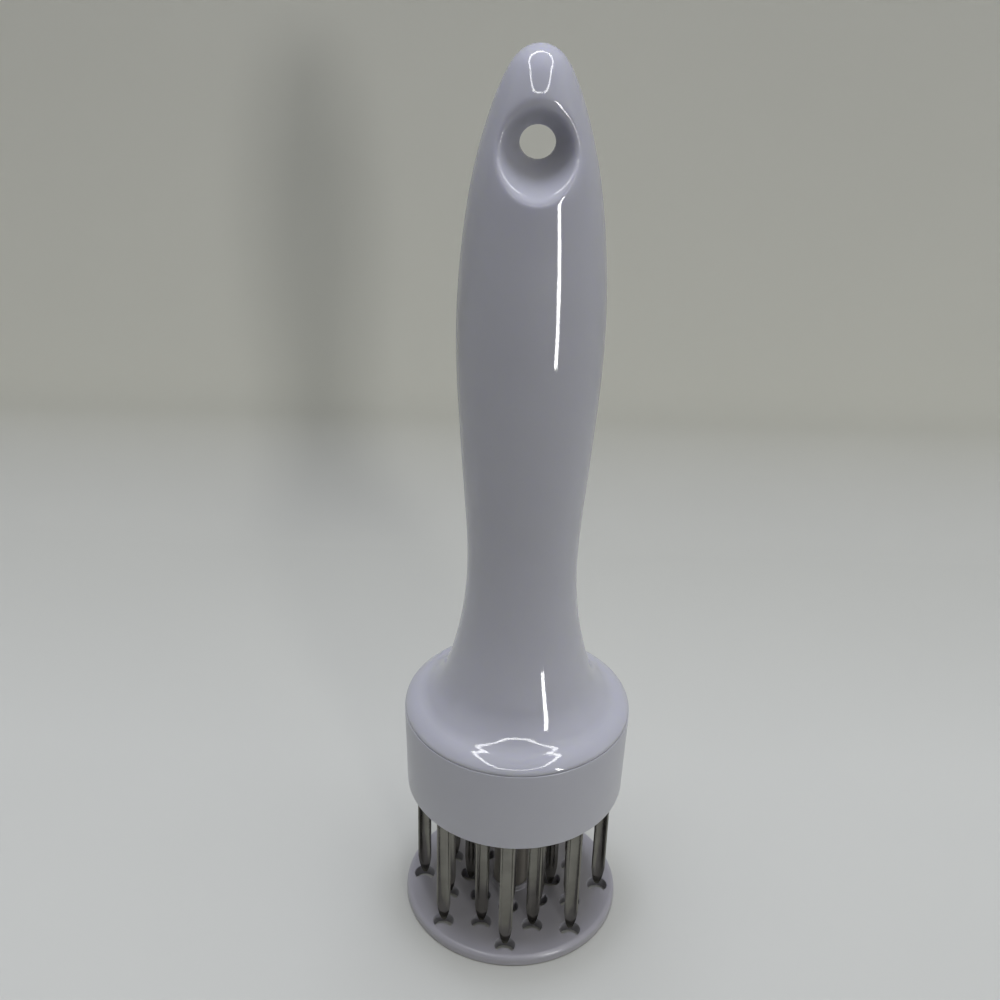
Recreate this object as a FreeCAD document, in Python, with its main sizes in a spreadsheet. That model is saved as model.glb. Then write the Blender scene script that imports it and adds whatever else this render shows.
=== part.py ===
import FreeCAD, Part
import math
import os
from types import SimpleNamespace

import Sketcher

# Blade meat tenderizer, standing upright on its foot plate.
# Millimetres and degrees, +Z up, origin at the middle of the foot plate's underside.
# The foot plate, its plunger and their fastenings slide along +Z; everything else stays.

SIZES = {
    # flange: an upright rim, then three arcs whose surface leans away from level
    "overall_height": 202.8,
    "seam_height": 57.1,
    "head_radius": 25.4,
    "flange_rim": 0.4,
    "flange_edge_round": 1.35,
    "flange_edge_angle": 40.0,
    "flange_crown_round": 9.7,
    "flange_dip_angle": 21.0,
    "flare_fillet_round": 5.9,
    "flare_fillet_angle": 44.0,
    # handle outside: insets from the head's radius, then radii, each at a share of the way
    # from the seam to the tip
    "flare_low_inset": 7.1,
    "flare_low_share": 0.0443,
    "flare_mid_inset": 8.6,
    "flare_mid_share": 0.0611,
    "flare_high_inset": 9.65,
    "flare_high_share": 0.0815,
    "flare_top_radius": 13.4,
    "flare_top_share": 0.1435,
    "waist_radius": 11.75,
    "waist_share": 0.257,
    "grip_low_radius": 12.5,
    "grip_low_share": 0.370,
    "grip_mid_radius": 13.75,
    "grip_mid_share": 0.490,
    "belly_radius": 14.55,
    "belly_share": 0.638,
    "shoulder_radius": 13.55,
    "shoulder_share": 0.754,
    "neck_radius": 11.45,
    "neck_share": 0.850,
    "crown_radius": 8.75,
    "crown_share": 0.9225,
    "tip_radius": 5.2,
    "tip_share": 0.9720,
    # hanging hole: a short round throat that opens into a funnel on each face
    "hang_drop": 17.4,
    "hang_hole_radius": 3.3,
    "hang_throat_length": 1.0,
    "funnel_reach": 17.0,
    "funnel_spread": 8.5,
    "funnel_lift": 2.7,
    "funnel_rim_round": 1.3,
    # handle inside
    "spigot_clearance": 0.1,
    "spigot_wall": 3.8,
    "boss_wall": 1.4,
    "core_pocket_depth": 6.0,
    "grip_core_radius": 6.0,
    "grip_core_end_radius": 4.0,
    "grip_core_end_web": 16.0,
    # head ring
    "ring_base": 36.0,
    "ring_wall": 1.7,
    "ring_taper": 0.5,
    "ring_ledge_width": 0.6,
    "ring_ledge_height": 3.5,
    "ring_base_round": 0.6,
    "ring_top_round": 0.3,
    # blade cartridge
    "holder_thickness": 7.0,
    "clamp_plate_thickness": 2.5,
    "disc_clearance": 0.15,
    "screw_ring_outset": 0.4,
    "clamp_screw_radius": 1.0,
    "clamp_screw_length": 5.0,
    "clamp_head_radius": 1.9,
    "clamp_head_height": 1.3,
    # blades: a strip bent to a gutter, with a wider head that the clamp plate traps,
    # ground to a gouge point by one slanting plane across its open side
    "blade_outer_radius": 1.85,
    "blade_thickness": 0.42,
    "blade_angle": 120.0,
    "blade_head_angle": 160.0,
    "blade_head_height": 1.6,
    "blade_tip_height": 2.2,
    "blade_bevel_length": 4.2,
    "blade_edge_land": 0.04,
    "blade_fit": 0.06,
    "blade_fit_angle": 4.0,
    "outer_ring_inset": 4.2,
    "inner_ring_gap": 3.2,
    "middle_ring_share": 0.528,
    "pattern_angle": 3.3,
    # foot plate
    "foot_margin": 4.2,
    "foot_thickness": 2.8,
    "foot_top_round": 1.2,
    "foot_base_round": 0.5,
    "collar_wall": 0.6,
    "collar_rise": 1.2,
    "socket_floor": 1.6,
    # slots of the foot plate: round, with a land bowed in from the blade's open side
    "slot_clearance": 0.55,
    "slot_setback": 0.36,
    "slot_throat": 3.25,
    "slot_land_radius": 2.2,
    # plunger and its fastenings
    "stem_radius": 4.1,
    "bush_running_clearance": 0.05,
    "bush_wall": 1.3,
    "bush_flange_width": 1.1,
    "bush_flange_thickness": 1.2,
    "seat_clearance": 0.05,
    "stem_hole_clearance": 0.25,
    "washer_thickness": 1.5,
    "washer_clearance": 0.25,
    "screw_radius": 1.3,
    "screw_length": 9.0,
    "screw_tip_gap": 1.0,
    "stem_head_radius": 2.8,
    "stem_head_height": 1.8,
    "foot_head_radius": 2.6,
    "foot_head_depth": 1.2,
    "recess_arm_width": 0.5,
    "recess_arm_share": 0.6,
    "recess_depth": 0.7,
    # spring and its housing
    "housing_bore_radius": 6.1,
    "housing_wall": 0.8,
    "housing_flange_width": 2.1,
    "housing_flange_thickness": 1.5,
    "housing_cap": 1.5,
    "spring_space": 56.0,
    "spring_wire_radius": 0.45,
    "spring_mean_radius": 4.85,
    "spring_turns": 13.0,
    "spring_end_gap": 0.05,
}

# counts, and the overshoot that lets a cutter pass cleanly through a face
BLADES_PER_RING = 8
CLAMP_SCREWS = 4
PASS = 1.0

# lean of an upright surface, in degrees away from level, and the turns that stand pieces up
UPRIGHT = 90.0
QUARTER_TURN = 90.0
HALF_TURN = 180.0
FULL_TURN = 360.0

# marks for sketch corners that lie on the axis or at the floor
AXIS = None
FLOOR = None

EAST = FreeCAD.Vector(1, 0, 0)
NORTH = FreeCAD.Vector(0, 1, 0)
UP = FreeCAD.Vector(0, 0, 1)


class Size:
    """A length, share or angle: its value now, and the expression text that gives it."""

    def __init__(self, value, text):
        self.value = value
        self.text = text

    def __add__(self, other):
        other = sized(other)
        return Size(self.value + other.value, "(%s + %s)" % (self.text, other.text))

    def __sub__(self, other):
        other = sized(other)
        return Size(self.value - other.value, "(%s - %s)" % (self.text, other.text))

    def __mul__(self, other):
        other = sized(other)
        return Size(self.value * other.value, "(%s * %s)" % (self.text, other.text))

    def __truediv__(self, other):
        other = sized(other)
        return Size(self.value / other.value, "(%s / %s)" % (self.text, other.text))

    def __neg__(self):
        return self * -1.0


def sized(number):
    """A plain number as a Size, so that both can stand in one sum."""
    if isinstance(number, Size):
        return number
    return Size(float(number), "(%r)" % float(number))


def cosine(angle):
    """Cosine of a Size in degrees."""
    return Size(math.cos(math.radians(angle.value)), "cos(%s * 1 deg)" % angle.text)


def sine(angle):
    """Sine of a Size in degrees."""
    return Size(math.sin(math.radians(angle.value)), "sin(%s * 1 deg)" % angle.text)


def lean_of(ratio):
    """Angle in degrees whose tangent is a Size."""
    return Size(math.degrees(math.atan(ratio.value)), "(atan(%s) / 1 deg)" % ratio.text)


def fill_sheet(target):
    """Writes the driving sizes into the sheet, one named cell each."""
    for row, (name, value) in enumerate(SIZES.items(), start=1):
        target.set("A%d" % row, name)
        target.set("B%d" % row, str(value))
        target.setAlias("B%d" % row, name)


def read_sheet(source):
    """Every driving size by name, as the sheet holds it."""
    return SimpleNamespace(**{name: Size(float(source.get(name)), "Sizes." + name)
                              for name in SIZES})


doc = FreeCAD.newDocument("blade_meat_tenderizer")
sheet = doc.addObject("Spreadsheet::Sheet", "Sizes")
fill_sheet(sheet)
doc.recompute()
size = read_sheet(sheet)

# heights of the stack, from the ring's ledge up into the handle
LEDGE_TOP = size.ring_base + size.ring_ledge_height
HOLDER_TOP = LEDGE_TOP + size.holder_thickness
CLAMP_TOP = HOLDER_TOP + size.clamp_plate_thickness
WASHER_TOP = CLAMP_TOP + size.washer_thickness
SPRING_SEAT = WASHER_TOP + size.spring_space
HOUSING_TOP = SPRING_SEAT + size.housing_cap
COLLAR_TOP = size.foot_thickness + size.collar_rise
HANG_HEIGHT = size.overall_height - size.hang_drop

# radii that follow from what fits inside what
RING_BORE = size.head_radius - size.ring_wall
RING_BASE_RADIUS = size.head_radius - size.ring_taper
SPIGOT_RADIUS = RING_BORE - size.spigot_clearance
DISC_RADIUS = RING_BORE - size.disc_clearance
SOCKET_RADIUS = size.stem_radius + size.seat_clearance
BUSH_BORE = size.stem_radius + size.bush_running_clearance
BUSH_OUTER = BUSH_BORE + size.bush_wall
BUSH_FLANGE = BUSH_OUTER + size.bush_flange_width
WASHER_RADIUS = size.housing_bore_radius - size.washer_clearance
HOUSING_OUTER = size.housing_bore_radius + size.housing_wall
HOUSING_FLANGE = HOUSING_OUTER + size.housing_flange_width
SCREW_HOLE = size.screw_radius + size.seat_clearance
CLAMP_HOLE = size.clamp_screw_radius + size.seat_clearance
OUTER_RING = size.head_radius - size.outer_ring_inset
INNER_RING = BUSH_FLANGE + size.inner_ring_gap
MIDDLE_RING = INNER_RING + (OUTER_RING - INNER_RING) * size.middle_ring_share
SCREW_RING = MIDDLE_RING + size.screw_ring_outset
FOOT_RADIUS = OUTER_RING + size.foot_margin
BLADE_INNER = size.blade_outer_radius - size.blade_thickness
BLADE_MIDDLE = (BLADE_INNER * cosine(size.blade_angle / 2) + size.blade_outer_radius) / 2


def bind(thing, prop, amount):
    """Ties one property of an object to a Size."""
    thing.setExpression(prop, sized(amount).text)


def move(thing, east=0.0, north=0.0, up=0.0):
    """Ties an object's position to Sizes, measured along X, Y and Z."""
    for axis, amount in (("x", east), ("y", north), ("z", up)):
        bind(thing, "Placement.Base." + axis, amount)


def turn(thing, axis, angle):
    """Turns an object about an axis through its own base point, by a positive angle."""
    angle = sized(angle)
    thing.Placement = FreeCAD.Placement(FreeCAD.Vector(), FreeCAD.Rotation(axis, angle.value))
    bind(thing, "Placement.Rotation.Angle", angle)


def rod(name, radius, low, high):
    """Upright cylinder on the Z axis between two heights."""
    thing = doc.addObject("Part::Cylinder", name)
    bind(thing, "Radius", radius)
    bind(thing, "Height", sized(high) - low)
    move(thing, up=low)
    return thing


def taper(name, low_radius, high_radius, low, high):
    """Upright cone on the Z axis between two heights."""
    thing = doc.addObject("Part::Cone", name)
    bind(thing, "Radius1", low_radius)
    bind(thing, "Radius2", high_radius)
    bind(thing, "Height", sized(high) - low)
    move(thing, up=low)
    return thing


def block(name, length, width, low, high):
    """Upright box centred on the Z axis between two heights."""
    thing = doc.addObject("Part::Box", name)
    bind(thing, "Length", length)
    bind(thing, "Width", width)
    bind(thing, "Height", sized(high) - low)
    move(thing, length / -2, width / -2, low)
    return thing


def joined(name, *things):
    """Boolean union of several objects."""
    thing = doc.addObject("Part::MultiFuse", name)
    thing.Shapes = list(things)
    return thing


def gathered(name, things):
    """Several separate solids kept as one object."""
    thing = doc.addObject("Part::Compound", name)
    thing.Links = list(things)
    return thing


def cut(name, base, tool):
    """Boolean difference of two objects."""
    thing = doc.addObject("Part::Cut", name)
    thing.Base = base
    thing.Tool = tool
    return thing


def origin_plane(body, role):
    """One of a body's own origin planes, such as XZ_Plane."""
    return next(plane for plane in body.Origin.OriginFeatures if plane.Role == role)


def pin(sketch, line, direction, amount, on_axis):
    """Holds the start of one line of a sketch at a distance from the origin."""
    if amount is None:
        sketch.addConstraint(Sketcher.Constraint("PointOnObject", line, 1, on_axis))
        return
    index = sketch.addConstraint(Sketcher.Constraint(direction, -1, 1, line, 1, amount.value))
    bind(sketch, "Constraints[%d]" % index, amount)


def lathe(name, outline):
    """Body turned about Z from a closed outline of (radius, height) corners."""
    body = doc.addObject("PartDesign::Body", name)
    sketch = body.newObject("Sketcher::SketchObject", name + "_outline")
    sketch.AttachmentSupport = [(origin_plane(body, "XZ_Plane"), "")]
    sketch.MapMode = "FlatFace"
    corners = [outline_corner(radius.value if radius else 0.0, height.value if height else 0.0)
               for radius, height in outline]
    count = len(corners)
    for line in range(count):
        sketch.addGeometry(Part.LineSegment(corners[line], corners[(line + 1) % count]))
    for line in range(count):
        sketch.addConstraint(Sketcher.Constraint("Coincident", line, 2, (line + 1) % count, 1))
    for line, (radius, height) in enumerate(outline):
        pin(sketch, line, "DistanceX", radius, -2)
        pin(sketch, line, "DistanceY", height, -1)
    turned = body.newObject("PartDesign::Revolution", name + "_turned")
    turned.Profile = sketch
    turned.ReferenceAxis = (sketch, ["V_Axis"])
    turned.Angle = FULL_TURN
    return body


def outline_corner(radius, height):
    """Point of a sketched outline."""
    return FreeCAD.Vector(radius, height, 0)


def rounded(name, base, rounds):
    """Rounds circular edges of an object, each given as (edge radius, height, fillet radius)."""
    doc.recompute()
    picked = []
    for number, edge in enumerate(base.Shape.Edges, start=1):
        if not isinstance(edge.Curve, Part.Circle):
            continue
        for radius, height, fillet in rounds:
            same_radius = abs(edge.Curve.Radius - radius.value) < 1e-4
            same_height = abs(edge.Curve.Center.z - sized(height).value) < 1e-4
            if same_radius and same_height:
                picked.append((number, fillet.value, fillet.value))
    thing = doc.addObject("Part::Fillet", name)
    thing.Base = base
    thing.Edges = picked
    return thing


def gutter(name, outer_radius, inner_radius, spread, low, high):
    """Upright strip bent to an arc: open towards -Y, bulging towards +Y."""
    sector = doc.addObject("Part::Cylinder", name + "_sector")
    bind(sector, "Radius", outer_radius)
    bind(sector, "Height", sized(high) - low)
    bind(sector, "Angle", spread)
    turn(sector, UP, sized(QUARTER_TURN) - spread / 2)
    move(sector, up=low)
    hollow = rod(name + "_hollow", inner_radius, sized(low) - PASS, sized(high) + PASS)
    strip = cut(name, sector, hollow)
    move(strip, north=-BLADE_MIDDLE)
    return strip


def blade_spots():
    """Every blade's ring, number and place, and whether its open side faces -Y."""
    rings = (
        ("outer", OUTER_RING, 0.0, True),
        ("middle", MIDDLE_RING, 0.5, True),
        ("inner", INNER_RING, 0.0, False),
    )
    step = FULL_TURN / BLADES_PER_RING
    for ring, radius, offset, opens_forward in rings:
        for number in range(BLADES_PER_RING):
            angle = sized((number + offset) * step - QUARTER_TURN) - size.pattern_angle
            place = (radius * cosine(angle), radius * sine(angle))
            yield ring, number + 1, place, opens_forward


def stand(thing, place, opens_forward):
    """Puts a blade, or the slot that it runs in, at its place in the pattern."""
    turn(thing, UP, sized(FULL_TURN if opens_forward else HALF_TURN) - size.pattern_angle)
    move(thing, *place)


def at_blades(name, make_cutter):
    """Cutters made one for every blade, each standing at its blade's place."""
    cutters = []
    for ring, number, place, opens_forward in blade_spots():
        label = "%s_%s_%d" % (name, ring, number)
        cutter = gathered(label, [make_cutter(label)])
        stand(cutter, place, opens_forward)
        cutters.append(cutter)
    return gathered(name, cutters)


def slots(name, clearance, spread, low, high):
    """Gutter-shaped cutters, wider than the blades by a clearance."""
    return at_blades(name, lambda label: gutter(
        label + "_strip", size.blade_outer_radius + clearance, BLADE_INNER - clearance,
        spread, low, high))


def crescents(name, low, high):
    """Round cutters, each with a land left standing where the blade's open side faces."""
    radius = size.blade_outer_radius + size.slot_clearance

    def crescent(label):
        land = rod(label + "_land", size.slot_land_radius, low - PASS, high + PASS)
        move(land, north=radius - size.slot_throat - size.slot_land_radius, up=low - PASS)
        moon = cut(label + "_moon", rod(label + "_hole", radius, low, high), land)
        move(moon, north=-size.slot_setback)
        return moon

    return at_blades(name, crescent)


def cross_recess(name, arm, low, high):
    """Cross-shaped driver recess for a screw head."""
    across = block(name + "_across", arm * 2, size.recess_arm_width, low, high)
    along = block(name + "_along", size.recess_arm_width, arm * 2, low, high)
    return joined(name, across, along)


def at_screw(thing, number):
    """Moves a centred piece to the place of one clamp screw."""
    angle = sized(number * FULL_TURN / CLAMP_SCREWS) - size.pattern_angle
    bind(thing, "Placement.Base.x", SCREW_RING * cosine(angle))
    bind(thing, "Placement.Base.y", SCREW_RING * sine(angle))
    return thing


def screw_holes(name, low, high):
    """Upright cutters at the places of the clamp screws."""
    return gathered(name, [at_screw(rod("%s_%d" % (name, number), CLAMP_HOLE, low, high), number)
                           for number in range(CLAMP_SCREWS)])


def profile_point(radius, height):
    """Point of the handle's outline, in the XZ plane."""
    return FreeCAD.Vector(radius, 0, height)


def bend(start, lean_in, lean_out, radius):
    """Arc of the handle's outline that climbs inwards, and its end.

    The leans are the surface's angles away from level where the arc starts and ends. The
    radius is positive where the surface bulges and negative where it is hollow.
    """
    def at(lean):
        inwards = radius * (math.sin(math.radians(lean_in)) - math.sin(math.radians(lean)))
        climb = radius * (math.cos(math.radians(lean)) - math.cos(math.radians(lean_in)))
        return start + profile_point(-inwards, climb)

    return Part.Arc(start, at((lean_in + lean_out) / 2), at(lean_out)).toShape(), at(lean_out)


def handle_side(start, lean):
    """Smooth line of the flare, the grip and the crown, up to the tip on the axis."""
    seam = size.seam_height.value
    tip = size.overall_height.value
    flare = [(size.head_radius - getattr(size, name + "_inset"), name)
             for name in ("flare_low", "flare_mid", "flare_high")]
    grip = [(getattr(size, name + "_radius"), name)
            for name in ("flare_top", "waist", "grip_low", "grip_mid", "belly", "shoulder",
                         "neck", "crown", "tip")]
    points = [start]
    for radius, name in flare + grip:
        share = getattr(size, name + "_share").value
        points.append(profile_point(radius.value, seam + (tip - seam) * share))
    points.append(profile_point(0, tip))
    leaving = profile_point(-math.cos(math.radians(lean)), math.sin(math.radians(lean)))
    side = Part.BSplineCurve()
    side.interpolate(Points=points, InitialTangent=leaving, FinalTangent=-EAST, Scale=False)
    return side.toShape()


def handle_skin():
    """Outside of the handle with its spigot, turned from one outline of lines, arcs and a curve."""
    seam = size.seam_height.value
    tip = size.overall_height.value
    head = size.head_radius.value
    base = CLAMP_TOP.value
    spigot = SPIGOT_RADIUS.value
    rim_top = profile_point(head, seam + size.flange_rim.value)
    edge_lean = size.flange_edge_angle.value
    dip_lean = size.flange_dip_angle.value
    fillet_lean = size.flare_fillet_angle.value
    edge, edge_end = bend(rim_top, UPRIGHT, edge_lean, size.flange_edge_round.value)
    crown, crown_end = bend(edge_end, edge_lean, dip_lean, size.flange_crown_round.value)
    fillet, fillet_end = bend(crown_end, dip_lean, fillet_lean, -size.flare_fillet_round.value)
    corners = [profile_point(0, tip), profile_point(0, base), profile_point(spigot, base),
               profile_point(spigot, seam), profile_point(head, seam), rim_top]
    outline = [Part.makeLine(first, second) for first, second in zip(corners, corners[1:])]
    outline += [edge, crown, fillet, handle_side(fillet_end, fillet_lean)]
    return Part.Face(Part.Wire(outline)).revolve(FreeCAD.Vector(), UP, FULL_TURN)


def hanging_hole():
    """Hole through the top of the handle: a round throat and a funnel towards each face."""
    half = size.hang_throat_length / 2
    throat = doc.addObject("Part::Cylinder", "hang_throat")
    bind(throat, "Radius", size.hang_hole_radius)
    bind(throat, "Height", size.hang_throat_length)
    turn(throat, EAST, QUARTER_TURN)
    move(throat, north=half, up=HANG_HEIGHT)
    funnels = []
    for name, side in (("front", -1.0), ("back", 1.0)):
        small = doc.addObject("Part::Circle", "hang_%s_small" % name)
        bind(small, "Radius", size.hang_hole_radius)
        turn(small, EAST, QUARTER_TURN)
        move(small, north=half * side, up=HANG_HEIGHT)
        large = doc.addObject("Part::Circle", "hang_%s_large" % name)
        bind(large, "Radius", size.hang_hole_radius + size.funnel_spread)
        turn(large, EAST, QUARTER_TURN)
        move(large, north=(half + size.funnel_reach) * side, up=HANG_HEIGHT + size.funnel_lift)
        funnel = doc.addObject("Part::Loft", "hang_%s_funnel" % name)
        funnel.Sections = [small, large]
        funnel.Solid = True
        funnel.Ruled = True
        funnels.append(funnel)
    return joined("hang_hole", throat, *funnels)


def make_handle():
    """Moulded handle: a turned skin, cored from below, with the hanging hole through its top."""
    skin = doc.addObject("Part::Feature", "handle_skin")
    skin.Shape = handle_skin()
    below = CLAMP_TOP - PASS
    bore = rod("handle_bore", HOUSING_OUTER + size.seat_clearance, below,
               HOUSING_TOP + size.seat_clearance)
    seat_radius = HOUSING_FLANGE + size.seat_clearance
    seat = rod("handle_flange_seat", seat_radius, below,
               CLAMP_TOP + size.housing_flange_thickness + size.seat_clearance)
    pocket_top = CLAMP_TOP + size.core_pocket_depth
    pocket = cut("handle_pocket",
                 rod("handle_pocket_rim", SPIGOT_RADIUS - size.spigot_wall, below, pocket_top),
                 rod("handle_pocket_boss", seat_radius + size.boss_wall, below - PASS,
                     pocket_top + PASS))
    core = taper("handle_core", size.grip_core_radius, size.grip_core_end_radius,
                 HOUSING_TOP, HANG_HEIGHT - size.grip_core_end_web)
    cored = cut("handle_cored", skin, joined("handle_hollows", bore, seat, pocket, core))
    holed = cut("handle_holed", cored, hanging_hole())
    return soften_funnel_rims("handle", holed)


def soften_funnel_rims(name, holed):
    """Rounds the rim where each funnel breaks out through the skin of the handle."""
    doc.recompute()
    radius = size.funnel_rim_round.value
    core_end = HANG_HEIGHT.value - size.grip_core_end_web.value
    hole_width = size.hang_hole_radius.value * 2
    picked = []
    for number, edge in enumerate(holed.Shape.Edges, start=1):
        box = edge.BoundBox
        outside_throat = abs(box.Center.y) > size.hang_throat_length.value
        if box.ZMin > core_end and box.XLength > hole_width and outside_throat:
            picked.append((number, radius, radius))
    thing = doc.addObject("Part::Fillet", name)
    thing.Base = holed
    thing.Edges = picked
    return thing


def make_head_ring():
    """Skirt of the head: it screws on to the spigot and carries the cartridge on a ledge."""
    ledge_radius = RING_BORE - size.ring_ledge_width
    blank = lathe("head_ring_blank", [
        (ledge_radius, size.ring_base),
        (RING_BASE_RADIUS, size.ring_base),
        (size.head_radius, size.seam_height),
        (RING_BORE, size.seam_height),
        (RING_BORE, LEDGE_TOP),
        (ledge_radius, LEDGE_TOP),
    ])
    return rounded("head_ring", blank, [
        (RING_BASE_RADIUS, size.ring_base, size.ring_base_round),
        (size.head_radius, size.seam_height, size.ring_top_round),
    ])


def make_blade_holder():
    """Thick disc with a fitted slot and a head pocket for every blade."""
    disc = rod("holder_disc", DISC_RADIUS, LEDGE_TOP, HOLDER_TOP)
    above = HOLDER_TOP + PASS
    bush_hole = rod("holder_bush_hole", BUSH_OUTER + size.seat_clearance, LEDGE_TOP - PASS, above)
    flange_seat = rod("holder_flange_seat", BUSH_FLANGE + size.seat_clearance,
                      HOLDER_TOP - size.bush_flange_thickness, above)
    strips = slots("holder_slots", size.blade_fit, size.blade_angle + size.blade_fit_angle,
                   LEDGE_TOP - PASS, above)
    pockets = slots("holder_pockets", size.blade_fit,
                    size.blade_head_angle + size.blade_fit_angle,
                    HOLDER_TOP - size.blade_head_height, above)
    pilots = screw_holes("holder_pilots",
                         CLAMP_TOP - size.clamp_screw_length - size.screw_tip_gap, above)
    bored = cut("holder_bored", disc, joined("holder_middle", bush_hole, flange_seat))
    slotted = cut("holder_slotted", bored, strips)
    pocketed = cut("holder_pocketed", slotted, pockets)
    return cut("blade_holder", pocketed, pilots)


def make_blade_clamp_plate():
    """Disc that closes the blade pockets, with holes for the plunger and the clamp screws."""
    disc = rod("clamp_disc", DISC_RADIUS, HOLDER_TOP, CLAMP_TOP)
    below = HOLDER_TOP - PASS
    above = CLAMP_TOP + PASS
    stem_hole = rod("clamp_stem_hole", size.stem_radius + size.stem_hole_clearance, below, above)
    bored = cut("clamp_bored", disc, stem_hole)
    return cut("blade_clamp_plate", bored, screw_holes("clamp_holes", below, above))


def make_clamp_screws():
    """Four pan-head screws that draw the clamp plate on to the holder."""
    screws = []
    for number in range(CLAMP_SCREWS):
        name = "clamp_screw_%d" % (number + 1)
        head_top = CLAMP_TOP + size.clamp_head_height
        head = rod(name + "_head", size.clamp_head_radius, CLAMP_TOP, head_top)
        shank = rod(name + "_shank", size.clamp_screw_radius,
                    CLAMP_TOP - size.clamp_screw_length, CLAMP_TOP)
        recess = cross_recess(name + "_recess", size.clamp_head_radius * size.recess_arm_share,
                              head_top - size.recess_depth, head_top + PASS)
        screws.append(at_screw(cut(name, joined(name + "_blank", head, shank), recess), number))
    return gathered("clamp_screws", screws)


def make_blade(name, place, opens_forward):
    """One blade: a gutter strip with a wider head, ground to a point at the lower end."""
    tip = size.blade_tip_height
    strip = gutter(name + "_strip", size.blade_outer_radius, BLADE_INNER, size.blade_angle,
                   tip, HOLDER_TOP)
    head = gutter(name + "_head", size.blade_outer_radius, BLADE_INNER, size.blade_head_angle,
                  HOLDER_TOP - size.blade_head_height, HOLDER_TOP)
    blade = cut(name, joined(name + "_blank", strip, head), grind(name + "_grind", tip))
    stand(blade, place, opens_forward)
    return blade


def grind(name, tip):
    """Waste that is ground off a blade's open side: it leaves a thin land at the very tip."""
    width = size.blade_outer_radius * 3
    length = size.blade_bevel_length * 5
    waste = doc.addObject("Part::Box", name)
    bind(waste, "Length", width)
    bind(waste, "Width", length)
    bind(waste, "Height", width)
    turn(waste, EAST, lean_of(size.blade_thickness / size.blade_bevel_length) + QUARTER_TURN)
    move(waste, width / -2, size.blade_outer_radius - BLADE_MIDDLE - size.blade_edge_land, tip)
    return waste


def make_foot_plate():
    """Round foot with a crescent slot for every blade and a collar for the plunger."""
    collar_radius = SOCKET_RADIUS + size.collar_wall
    blank = lathe("foot_blank", [
        (SCREW_HOLE, FLOOR),
        (FOOT_RADIUS, FLOOR),
        (FOOT_RADIUS, size.foot_thickness),
        (collar_radius, size.foot_thickness),
        (collar_radius, COLLAR_TOP),
        (SOCKET_RADIUS, COLLAR_TOP),
        (SOCKET_RADIUS, size.socket_floor),
        (SCREW_HOLE, size.socket_floor),
    ])
    softened = rounded("foot_softened", blank, [
        (FOOT_RADIUS, size.foot_thickness, size.foot_top_round),
        (FOOT_RADIUS, 0.0, size.foot_base_round),
    ])
    sink = taper("foot_countersink", size.foot_head_radius + size.seat_clearance * 2, SCREW_HOLE,
                 sized(0.0), size.foot_head_depth)
    openings = crescents("foot_slots", sized(-PASS), size.foot_thickness + PASS)
    return cut("foot_plate", cut("foot_sunk", softened, sink), openings)


def make_plunger_stem():
    """Plunger: a post with a pilot hole in each end, seated in the foot plate's collar."""
    pilot_depth = size.screw_length + size.screw_tip_gap
    lower_end = size.socket_floor + pilot_depth
    upper_end = CLAMP_TOP - pilot_depth
    return lathe("plunger_stem", [
        (SCREW_HOLE, size.socket_floor),
        (size.stem_radius, size.socket_floor),
        (size.stem_radius, CLAMP_TOP),
        (SCREW_HOLE, CLAMP_TOP),
        (SCREW_HOLE, upper_end),
        (AXIS, upper_end),
        (AXIS, lower_end),
        (SCREW_HOLE, lower_end),
    ])


def make_foot_screw():
    """Countersunk screw, set just inside the foot plate's underside."""
    low = size.seat_clearance
    head = taper("foot_screw_head", size.foot_head_radius, size.screw_radius, low,
                 size.foot_head_depth)
    shank = rod("foot_screw_shank", size.screw_radius, size.foot_head_depth,
                size.socket_floor + size.screw_length)
    recess = cross_recess("foot_screw_recess", size.foot_head_radius * size.recess_arm_share,
                          low - PASS, low + size.recess_depth)
    return cut("foot_screw", joined("foot_screw_blank", head, shank), recess)


def make_guide_bush():
    """Flanged bush in the holder that the plunger runs in."""
    flange_floor = HOLDER_TOP - size.bush_flange_thickness
    return lathe("guide_bush", [
        (BUSH_BORE, LEDGE_TOP),
        (BUSH_OUTER, LEDGE_TOP),
        (BUSH_OUTER, flange_floor),
        (BUSH_FLANGE, flange_floor),
        (BUSH_FLANGE, HOLDER_TOP),
        (BUSH_BORE, HOLDER_TOP),
    ])


def make_stop_washer():
    """Washer on the plunger: it lands on the clamp plate when the foot is all the way out."""
    return lathe("stop_washer", [
        (SCREW_HOLE, CLAMP_TOP),
        (WASHER_RADIUS, CLAMP_TOP),
        (WASHER_RADIUS, WASHER_TOP),
        (SCREW_HOLE, WASHER_TOP),
    ])


def make_stem_screw():
    """Pan-head screw that holds the stop washer on the plunger."""
    head_top = WASHER_TOP + size.stem_head_height
    head = rod("stem_screw_head", size.stem_head_radius, WASHER_TOP, head_top)
    shank = rod("stem_screw_shank", size.screw_radius, CLAMP_TOP - size.screw_length, WASHER_TOP)
    recess = cross_recess("stem_screw_recess", size.stem_head_radius * size.recess_arm_share,
                          head_top - size.recess_depth, head_top + PASS)
    return cut("stem_screw", joined("stem_screw_blank", head, shank), recess)


def make_spring_housing():
    """Closed tube in the handle that guides the spring and takes its thrust."""
    flange_top = CLAMP_TOP + size.housing_flange_thickness
    return lathe("spring_housing", [
        (size.housing_bore_radius, CLAMP_TOP),
        (HOUSING_FLANGE, CLAMP_TOP),
        (HOUSING_FLANGE, flange_top),
        (HOUSING_OUTER, flange_top),
        (HOUSING_OUTER, HOUSING_TOP),
        (AXIS, HOUSING_TOP),
        (AXIS, SPRING_SEAT),
        (size.housing_bore_radius, SPRING_SEAT),
    ])


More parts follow.
